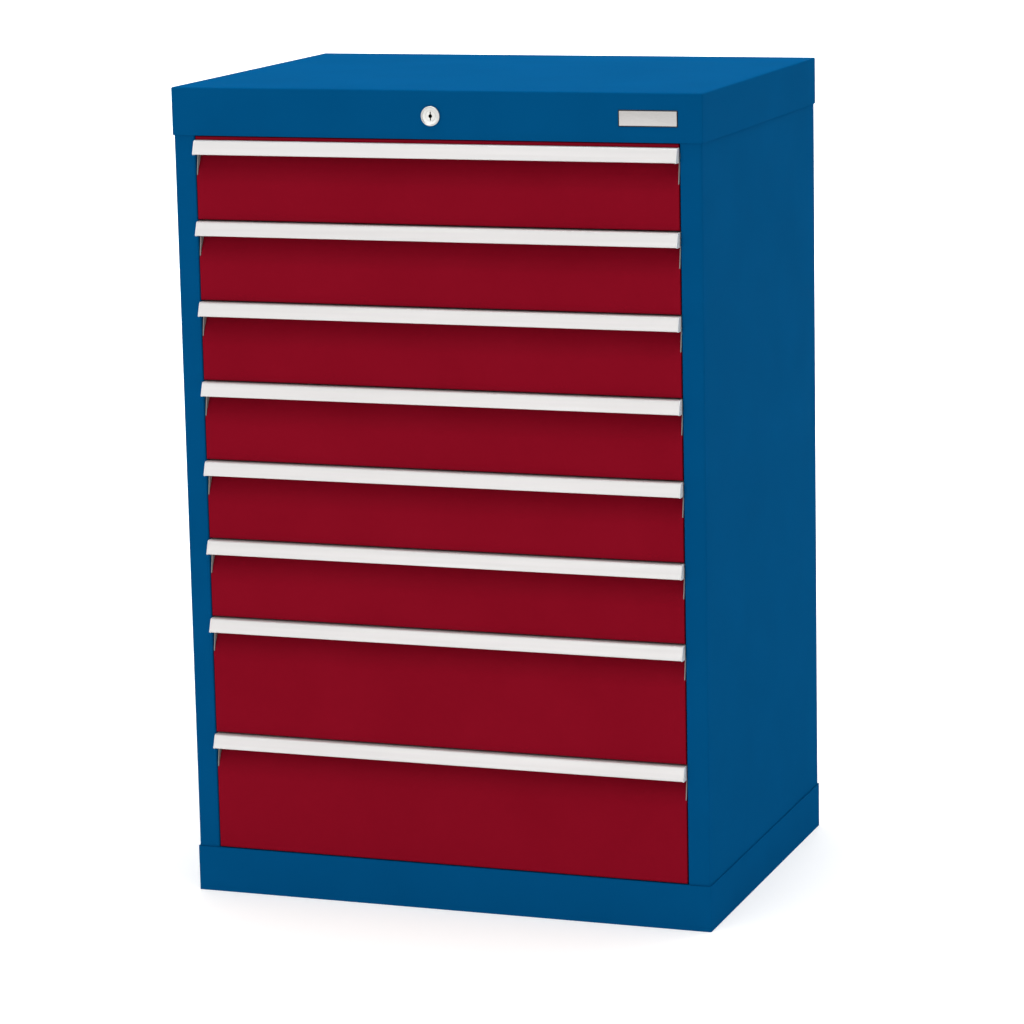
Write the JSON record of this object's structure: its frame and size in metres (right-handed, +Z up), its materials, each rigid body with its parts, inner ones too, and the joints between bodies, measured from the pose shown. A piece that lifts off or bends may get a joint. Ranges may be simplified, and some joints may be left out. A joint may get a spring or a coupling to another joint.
{
  "type": "drawer cabinet",
  "caption": "Upright steel workshop drawer cabinet with stacked full-width drawers, aluminium grip rails, telescopic slides and one cylinder lock in the top rail.",
  "frame": {"origin": "middle of the overall box, at the floor", "axes": "+Z up, -Y out of the drawer fronts towards the user, +X to the right seen from the front"},
  "size_m": [0.68, 0.5106, 1.021],
  "materials": {
    "housing_paint": "semi-gloss fine-texture powder coat, blue",
    "drawer_paint": "semi-gloss fine-texture powder coat, deep red",
    "tray_paint": "satin powder coat, light grey",
    "grip_aluminium": "clear anodised, satin",
    "cap_plastic": "moulded, light grey",
    "zinc_steel": "bright zinc plated",
    "guide_plastic": "moulded, natural",
    "lock_nickel": "satin nickel plated zinc casting",
    "plate_silver": "satin, blank"
  },
  "bodies": {
    "cabinet": {"top_cover": "housing_paint", "base_skirt": "housing_paint", "base_deck": "housing_paint", "right_side_panel": "housing_paint", "left_side_panel": "housing_paint", "back_panel": "housing_paint", "blank_plate": "plate_silver", "right_posts": "zinc_steel", "left_posts": "zinc_steel", "right_cabinet_rails": "zinc_steel", "left_cabinet_rails": "zinc_steel", "lock_housing": "lock_nickel", "lock_nut": "zinc_steel", "link_guides": "guide_plastic", "rod_guides": "guide_plastic"},
    "lock_core": {"lock_barrel": "lock_nickel", "lock_cam": "zinc_steel", "cam_screw": "zinc_steel"},
    "lock_slider": {"lock_link": "zinc_steel"},
    "lock_riser": {"lock_rod": "zinc_steel"},
    "drawer_1": {"drawer_1_front": "drawer_paint", "drawer_1_grip": "grip_aluminium", "drawer_1_grip_caps": "cap_plastic", "drawer_1_tray": "tray_paint"},
    "drawer_1_middle": {"drawer_1_middle_rails": "zinc_steel"},
    "drawer_2": {"drawer_2_front": "drawer_paint", "drawer_2_grip": "grip_aluminium", "drawer_2_grip_caps": "cap_plastic", "drawer_2_tray": "tray_paint"},
    "drawer_2_middle": {"drawer_2_middle_rails": "zinc_steel"},
    "drawer_3": {"drawer_3_front": "drawer_paint", "drawer_3_grip": "grip_aluminium", "drawer_3_grip_caps": "cap_plastic", "drawer_3_tray": "tray_paint"},
    "drawer_3_middle": {"drawer_3_middle_rails": "zinc_steel"},
    "drawer_4": {"drawer_4_front": "drawer_paint", "drawer_4_grip": "grip_aluminium", "drawer_4_grip_caps": "cap_plastic", "drawer_4_tray": "tray_paint"},
    "drawer_4_middle": {"drawer_4_middle_rails": "zinc_steel"},
    "drawer_5": {"drawer_5_front": "drawer_paint", "drawer_5_grip": "grip_aluminium", "drawer_5_grip_caps": "cap_plastic", "drawer_5_tray": "tray_paint"},
    "drawer_5_middle": {"drawer_5_middle_rails": "zinc_steel"},
    "drawer_6": {"drawer_6_front": "drawer_paint", "drawer_6_grip": "grip_aluminium", "drawer_6_grip_caps": "cap_plastic", "drawer_6_tray": "tray_paint"},
    "drawer_6_middle": {"drawer_6_middle_rails": "zinc_steel"},
    "drawer_7": {"drawer_7_front": "drawer_paint", "drawer_7_grip": "grip_aluminium", "drawer_7_grip_caps": "cap_plastic", "drawer_7_tray": "tray_paint"},
    "drawer_7_middle": {"drawer_7_middle_rails": "zinc_steel"},
    "drawer_8": {"drawer_8_front": "drawer_paint", "drawer_8_grip": "grip_aluminium", "drawer_8_grip_caps": "cap_plastic", "drawer_8_tray": "tray_paint"},
    "drawer_8_middle": {"drawer_8_middle_rails": "zinc_steel"}
  },
  "joints": [
    {"name": "lock_turn", "type": "hinge", "parent": "cabinet", "child": "lock_core", "pos_m": [0, -0.22825, 0.99], "axis": [0, 1, 0], "range_deg": [0, 90]},
    {"name": "link_slide", "type": "slide", "parent": "cabinet", "child": "lock_slider", "axis": [-1, 0, 0], "range_m": [0, 0.01415]},
    {"name": "rod_lift", "type": "slide", "parent": "cabinet", "child": "lock_riser", "axis": [0, 0, 1], "range_m": [0, 0.01414]},
    {"name": "drawer_1_slide", "type": "slide", "parent": "cabinet", "child": "drawer_1", "axis": [0, -1, 0], "range_m": [0, 0.4]},
    {"name": "drawer_1_middle_slide", "type": "slide", "parent": "cabinet", "child": "drawer_1_middle", "axis": [0, -1, 0], "range_m": [0, 0.2]},
    {"name": "drawer_2_slide", "type": "slide", "parent": "cabinet", "child": "drawer_2", "axis": [0, -1, 0], "range_m": [0, 0.4]},
    {"name": "drawer_2_middle_slide", "type": "slide", "parent": "cabinet", "child": "drawer_2_middle", "axis": [0, -1, 0], "range_m": [0, 0.2]},
    {"name": "drawer_3_slide", "type": "slide", "parent": "cabinet", "child": "drawer_3", "axis": [0, -1, 0], "range_m": [0, 0.4]},
    {"name": "drawer_3_middle_slide", "type": "slide", "parent": "cabinet", "child": "drawer_3_middle", "axis": [0, -1, 0], "range_m": [0, 0.2]},
    {"name": "drawer_4_slide", "type": "slide", "parent": "cabinet", "child": "drawer_4", "axis": [0, -1, 0], "range_m": [0, 0.4]},
    {"name": "drawer_4_middle_slide", "type": "slide", "parent": "cabinet", "child": "drawer_4_middle", "axis": [0, -1, 0], "range_m": [0, 0.2]},
    {"name": "drawer_5_slide", "type": "slide", "parent": "cabinet", "child": "drawer_5", "axis": [0, -1, 0], "range_m": [0, 0.4]},
    {"name": "drawer_5_middle_slide", "type": "slide", "parent": "cabinet", "child": "drawer_5_middle", "axis": [0, -1, 0], "range_m": [0, 0.2]},
    {"name": "drawer_6_slide", "type": "slide", "parent": "cabinet", "child": "drawer_6", "axis": [0, -1, 0], "range_m": [0, 0.4]},
    {"name": "drawer_6_middle_slide", "type": "slide", "parent": "cabinet", "child": "drawer_6_middle", "axis": [0, -1, 0], "range_m": [0, 0.2]},
    {"name": "drawer_7_slide", "type": "slide", "parent": "cabinet", "child": "drawer_7", "axis": [0, -1, 0], "range_m": [0, 0.4]},
    {"name": "drawer_7_middle_slide", "type": "slide", "parent": "cabinet", "child": "drawer_7_middle", "axis": [0, -1, 0], "range_m": [0, 0.2]},
    {"name": "drawer_8_slide", "type": "slide", "parent": "cabinet", "child": "drawer_8", "axis": [0, -1, 0], "range_m": [0, 0.4]},
    {"name": "drawer_8_middle_slide", "type": "slide", "parent": "cabinet", "child": "drawer_8_middle", "axis": [0, -1, 0], "range_m": [0, 0.2]}
  ],
  "couplings": [
    {"joint": "link_slide", "follows": "rod_lift", "ratio": 1},
    {"joint": "lock_turn", "follows": "rod_lift", "rad_per_m": 111.07},
    {"joint": "drawer_1_middle_slide", "follows": "drawer_1_slide", "ratio": 0.5},
    {"joint": "drawer_2_middle_slide", "follows": "drawer_2_slide", "ratio": 0.5},
    {"joint": "drawer_3_middle_slide", "follows": "drawer_3_slide", "ratio": 0.5},
    {"joint": "drawer_4_middle_slide", "follows": "drawer_4_slide", "ratio": 0.5},
    {"joint": "drawer_5_middle_slide", "follows": "drawer_5_slide", "ratio": 0.5},
    {"joint": "drawer_6_middle_slide", "follows": "drawer_6_slide", "ratio": 0.5},
    {"joint": "drawer_7_middle_slide", "follows": "drawer_7_slide", "ratio": 0.5},
    {"joint": "drawer_8_middle_slide", "follows": "drawer_8_slide", "ratio": 0.5}
  ]
}
